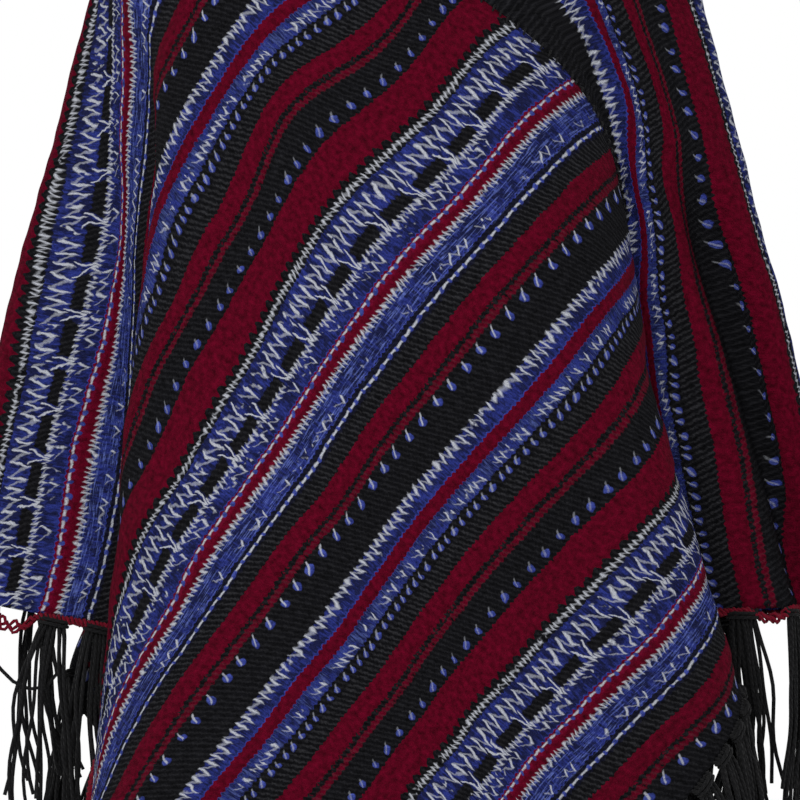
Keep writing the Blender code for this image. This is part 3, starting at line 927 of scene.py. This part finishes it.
# The yarn that ties a tassel: its turns, how far apart, how far the first lies above the tie, how
# far each slants, its middle off the cloth and how far it stands from it, and how thick it is.
TIE_TURNS, TIE_APART, TIE_ABOVE, TIE_SLANT = 2, 0.0034, 0.004, 0.0008
TIE_MIDDLE, TIE_OFF, TIE_THICK = 0.0008, 0.0046, 0.8
TIE_HALF_WIDTH = BUNCH * 0.47 + YARN_RADIUS
TIE_ROUND, TIE_POINTS = 1.15, 13             # half turns each way from its middle

# Tassels tied off the middle of their facet, and extra ones between, by hem and facet.
TIED_ASIDE = {("front", "hem"): {8: 0.024, 11: -0.031},
              ("back", "hem"): {2: -0.010, 4: -0.029, 8: 0.026}}
TIED_BETWEEN = {("front", "side"): (9, 11, 13, 15)}
# One yarn that strays from a tassel: its hem and facet, and its way aside and down, in metres.
STRAYS = {("front", "hem", 8): ((0.006, 0.000), (0.000, 0.020), (-0.003, 0.040), (0.006, 0.052),
                               (0.020, 0.056), (0.034, 0.052), (0.044, 0.044), (0.050, 0.038))}


def spaced(first, last):
    return np.linspace(first, last, int(round((last - first) / FACET)) + 1)


FACETS_ALONG = spaced(NECK_HALF_EDGE, HEM_REACH)
FACETS_ACROSS = np.append(spaced(-NECK_HALF_EDGE, NECK_HALF_EDGE)[:-1], FACETS_ALONG)
# each hem's facets, and which of them carry a tassel
CARRIERS = {
    "hem": (FACETS_ACROSS, (*range(2, NECK_FACETS, 2),
                            *range(NECK_FACETS + 1, len(FACETS_ACROSS) - 1, 2))),
    "side": (FACETS_ALONG, range(0, len(FACETS_ALONG) - 1, 2)),
}


def hem_place(hem, run, down, side, off=0.0):
    """A place by its distance along a hem and below it."""
    run, down = np.broadcast_arrays(np.asarray(run, float), np.asarray(down, float))
    if hem == "hem":
        reach = stretched(run, HEM_REACH, side) + down
        off = off - creased(run, HEM_REACH + 0.0 * run, side)
        return panel_place(run, reach, side, off)
    return panel_place(HEM_REACH + down, run, side, off)


def unit(vector):
    return vector / np.linalg.norm(vector)


def tassel_yarns(hem, middle, side, draw):
    """The yarns of one tassel: drawn through the edge, tied, then hanging nearly plumb."""
    left, right = hem_place(hem, np.array([middle - NEARBY, middle + NEARBY]), 0.005, side)
    aside = unit((right - left) * STEADY)
    top, low = hem_place(hem, middle, np.array([0.0, LEAVES_BY]), side)
    flare = unit(low - top)
    through = unit(hem_place(hem, middle, 0.0, side, 0.001) - hem_place(hem, middle, 0.0, side))
    clump_aside = draw.normal(0.0, CLUMP_ASIDE, CLUMPS)
    clump_aside = clump_aside + np.linspace(-CLUMPS_APART, CLUMPS_APART, CLUMPS)
    clump_off = draw.normal(0.0, CLUMP_OFF, CLUMPS)
    bow = draw.normal(0.0, BOW)
    lines = []
    for i in range(YARNS_IN_TASSEL):
        place = i / (YARNS_IN_TASSEL - 1.0) - 0.5
        clump = min(int((place + 0.5) * CLUMPS), CLUMPS - 1)
        layer = YARN_RADIUS * (LAYER_DEPTH if i % 2 else -LAYER_DEPTH)
        head = hem_place(hem, middle + place * BUNCH * HEAD_SPREAD, HEAD_DOWN, side,
                         HEAD_OFF + layer * HEAD_LAYER)
        length = TASSEL_LENGTH * (1.0 + draw.normal(0.0, LENGTH_VARIES))
        sway = clump_aside[clump] + draw.normal(0.0, YARN_ASIDE) + place * YARNS_APART
        depth = clump_off[clump] + draw.normal(0.0, YARN_OFF)
        wave = draw.uniform(*WAVES)
        phase, second = draw.uniform(0.0, FULL_TURN, 2)
        fast = draw.uniform(*WAVE_RATES)
        tail = []
        for q in np.linspace(0.0, 1.0, TAIL_STEPS + 1)[1:]:
            down = unit(flare * (FLARE - TURNS_PLUMB * q) + PLUMB * (PULL + TURNS_PLUMB * q))
            moved = sway * (q ** 0.7) + bow * q * q + wave * math.sin(fast * q + phase) * q ** 0.5
            out = depth * q + wave * math.sin(fast * SECOND_RATE * q + second) * q
            tail.append(head[-1] + down * length * q + aside * moved + through * out)
        line = np.vstack([head, tail])
        widths = np.full(len(line), draw.uniform(*THICKNESSES))
        widths[-1] *= THIN_TIP
        lines.append((line, widths))
    return lines


def tie_lines(hem, middle, side):
    """The turns of yarn that tie a tassel."""
    lines = []
    around = np.linspace(-TIE_ROUND, TIE_ROUND, TIE_POINTS) * math.pi
    for turn in range(TIE_TURNS):
        down = TIE - TIE_ABOVE + TIE_APART * turn + TIE_SLANT * np.sin(around)
        ring = hem_place(hem, middle + TIE_HALF_WIDTH * np.sin(around), down, side,
                         TIE_MIDDLE + TIE_OFF * np.cos(around))
        lines.append((ring, TIE_THICK))
    return lines


def stray_line(hem, middle, side, way):
    start = hem_place(hem, middle, TIE, side)
    aside = unit(hem_place(hem, middle - NEARBY, 0.0, side) - hem_place(hem, middle, 0.0, side))
    sides, downs = np.array(way).T[:, :, None]
    return start + aside * sides + PLUMB * downs, 1.0


def tassels(name, hem, side, material):
    draw = np.random.default_rng(TASSEL_SEED[side, hem])
    facets, carriers = CARRIERS[hem]
    lines = []
    for facet in (*carriers, *TIED_BETWEEN.get((side, hem), ())):
        middle = (facets[facet] + facets[facet + 1]) / 2.0
        middle += TIED_ASIDE.get((side, hem), {}).get(facet, 0.0)
        lines.extend(tassel_yarns(hem, middle, side, draw))
        lines.extend(tie_lines(hem, middle, side))
        if (side, hem, facet) in STRAYS:
            lines.append(stray_line(hem, middle, side, STRAYS[side, hem, facet]))
    return yarns(name, lines, YARN_RADIUS, YARN_SIDES, material)


# ---- edgings and seams -------------------------------------------------------------------------
EDGING_RADIUS, SEAM_RADIUS, NECK_RADIUS, FINE_SIDES = 0.0015, 0.0010, 0.0011, 5
EDGING_INSET, EDGING_STEP, EDGING_TURN = 0.004, 0.0020, 0.0080
EDGING_LOW, EDGING_SWINGS, EDGING_OUT, STRANDS_APART = 0.0016, 0.0030, 0.0036, 0.0006
# its strands: how much of the slack each takes, and how early it is in its turn
EDGING_STRANDS = ((1.0, 0.0), (0.75, 2.1), (1.15, 4.2))
# where it hangs slack between two tassels: across the panel, how wide, how deep
SLACK = {"front": ((0.098, 0.011, 0.013), (0.205, 0.012, 0.006), (0.540, 0.012, 0.007)),
         "back": ((-0.062, 0.010, 0.007), (0.012, 0.012, 0.006), (0.430, 0.013, 0.008))}
SLACK_FLAT = 0.02            # slack at which a strand no longer winds round the edge
STITCH_APART, STITCH_SLANT, STITCH_RISE, STITCH_SUNK = 0.0075, 0.0016, 0.0024, 0.0012
STITCH_STRAYS, STITCH_REACHES, STITCH_POINTS = 0.0007, (0.0030, 0.0042), 7
FROM_NECK, FROM_HEM = 0.006, 0.008           # where a seam's stitches start and end
STITCH_SEED = {"front": 90, "back": 91}
NECK_STEP, NECK_TURN, NECK_SWINGS, NECK_OUT = 0.0008, 0.0062, 0.0030, 0.0028
NECK_INSET, NECK_MIDDLE = 0.001, 0.0022      # from the panel's corners, and past its edge


def edging(name, side, material):
    """Crimson yarn that runs along the course ends at the hem, looping over the edge."""
    runs = np.arange(-NECK_HALF_EDGE + EDGING_INSET, HEM_REACH - EDGING_INSET, EDGING_STEP)
    turn = runs / EDGING_TURN * 2.0 * math.pi
    loose = np.zeros_like(runs)
    for middle, wide, deep in SLACK[side]:
        loose += deep * np.exp(-((runs - middle) / wide) ** 4)
    lines = []
    for strand, (slack, early) in enumerate(EDGING_STRANDS):
        down = EDGING_LOW + EDGING_SWINGS * np.sin(turn + early) + loose * slack
        off = EDGING_OUT * np.cos(turn + early) * (1.0 - loose / SLACK_FLAT) + STRANDS_APART * strand
        lines.append((hem_place("hem", runs, down, side, off), 1.0))
    return yarns(name, lines, EDGING_RADIUS, FINE_SIDES, material)


def seam(name, side, material):
    """Whip stitches that join one panel's end to the other's side."""
    draw = np.random.default_rng(STITCH_SEED[side])
    lines = []
    over = np.linspace(-1.0, 1.0, STITCH_POINTS)
    off = WALL / 2.0 + STITCH_RISE * (1.0 - over**4) - STITCH_SUNK
    for run in np.arange(NECK_HALF_EDGE + FROM_NECK, HEM_REACH - FROM_HEM, STITCH_APART):
        run = run + draw.normal(0.0, STITCH_STRAYS)
        reach = draw.uniform(*STITCH_REACHES)
        stitch = panel_place(run + over * STITCH_SLANT, NECK_HALF_EDGE + over * reach, side, off)
        lines.append((stitch, 1.0))
    return yarns(name, lines, SEAM_RADIUS, FINE_SIDES, material)


def neck_edging(name, side, material):
    """Black yarn oversewn along the part of a panel's end that lies round the neck."""
    turns = np.arange(0.0, 2.0 * (NECK_HALF_EDGE - NECK_INSET), NECK_STEP)
    around = turns / NECK_TURN * 2.0 * math.pi
    line = panel_place(-NECK_HALF_EDGE + NECK_INSET + turns,
                       NECK_HALF_EDGE + NECK_MIDDLE - NECK_SWINGS * np.cos(around), side,
                       NECK_OUT * np.sin(around))
    return yarns(name, [(line, 1.0)], NECK_RADIUS, FINE_SIDES, material)


# ---- the room ----------------------------------------------------------------------------------
FLOOR_RADIUS, FLOOR_SIDES, FLOOR_Z = 3.0, 64, -1.24
FLOOR_COLOUR, FLOOR_ROUGHNESS = (0.82, 0.82, 0.82, 1.0), 0.8
EYE, LENS, SENSOR_WIDTH, CLIP_END = (0.004, -4.65, -0.48), 253.1, 36.0, 60.0
# each lamp's place, what it is aimed at, its width in metres and its power in watts
LAMPS = {
    "key": ((-0.9, -3.2, 1.3), (0.0, 0.0, -0.5), 1.2, 62.0),
    "fill": ((2.2, -2.8, -0.1), (0.0, 0.0, -0.6), 2.0, 4.0),
}
# white behind the garment, dimmer on the side that the light comes from
WORLD_LEVELS = {"From Min": 0.0, "From Max": 0.8, "To Min": 0.50, "To Max": 1.0}


def lamp(name, place, aim, size, power):
    data = bpy.data.lights.new(name, "AREA")
    data.shape, data.size, data.energy = "DISK", size, power
    made = placed(name, data)
    made.location = place
    direction = np.array(aim) - np.array(place)
    flat = math.hypot(direction[0], direction[1])
    made.rotation_euler = (math.atan2(flat, -direction[2]), 0.0,
                           math.atan2(direction[0], -direction[1]) + math.pi)


def world():
    made = bpy.data.worlds.new("studio")
    made.use_nodes = True
    nodes, links = made.node_tree.nodes, made.node_tree.links
    direction, parts, level = (nodes.new("ShaderNode" + kind)
                               for kind in ("TexCoord", "SeparateXYZ", "MapRange"))
    links.new(direction.outputs["Generated"], parts.inputs[0])
    links.new(parts.outputs["Y"], level.inputs["Value"])
    for key, value in WORLD_LEVELS.items():
        level.inputs[key].default_value = value
    links.new(level.outputs["Result"], nodes["Background"].inputs["Strength"])
    nodes["Background"].inputs["Color"].default_value = (1.0, 1.0, 1.0, 1.0)
    return made


def floor():
    mesh = bpy.data.meshes.new("floor")
    turns = np.linspace(0.0, 2.0 * math.pi, FLOOR_SIDES, endpoint=False)
    ring = [(FLOOR_RADIUS * math.cos(a), FLOOR_RADIUS * math.sin(a), FLOOR_Z) for a in turns]
    mesh.from_pydata(ring, [], [tuple(range(FLOOR_SIDES))])
    kit = ShaderKit("pale_floor")
    kit.shader.inputs["Base Color"].default_value = FLOOR_COLOUR
    kit.shader.inputs["Roughness"].default_value = FLOOR_ROUGHNESS
    mesh.materials.append(kit.material)
    return placed("floor", mesh)


def room():
    scene = bpy.context.scene
    scene.world = world()
    scene.view_settings.view_transform = "Standard"
    floor()
    for name, facts in LAMPS.items():
        lamp(name, *facts)
    camera = bpy.data.cameras.new("camera")
    camera.lens, camera.sensor_width, camera.clip_end = LENS, SENSOR_WIDTH, CLIP_END
    eye = placed("camera", camera)
    eye.location = EYE
    eye.rotation_euler = (math.pi / 2.0, 0.0, 0.0)
    scene.camera = eye


# ---- the whole garment -------------------------------------------------------------------------
KNIT = knit_material("striped_knitting")
BLACK_YARN = yarn_material("black_yarn", srgb(11, 11, 12, 1.0), srgb(33, 33, 35, 1.0))
CRIMSON_YARN = yarn_material("crimson_yarn", srgb(100, 3, 26, 1.0), srgb(128, 12, 38, 1.0))

for side in ("front", "back"):
    cloth_panel = panel(side + "_panel", side, KNIT)
    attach(cloth_panel, "root")
    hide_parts("panel_" + side)
    for hem_name in ("hem", "side"):
        fringe = tassels("tassels_%s_%s" % (side, hem_name), hem_name, side, BLACK_YARN)
        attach(fringe, "root")
        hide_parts("fringe_%s_%s" % (side, hem_name))
    for piece, slot in ((edging("edging_" + side, side, CRIMSON_YARN), "striped_knit"),
                        (seam("seam_" + side, side, BLACK_YARN), "black_yarn"),
                        (neck_edging("neck_edging_" + side, side, BLACK_YARN), "black_yarn")):
        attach(piece, "root")

room()
bpy.context.view_layer.update()
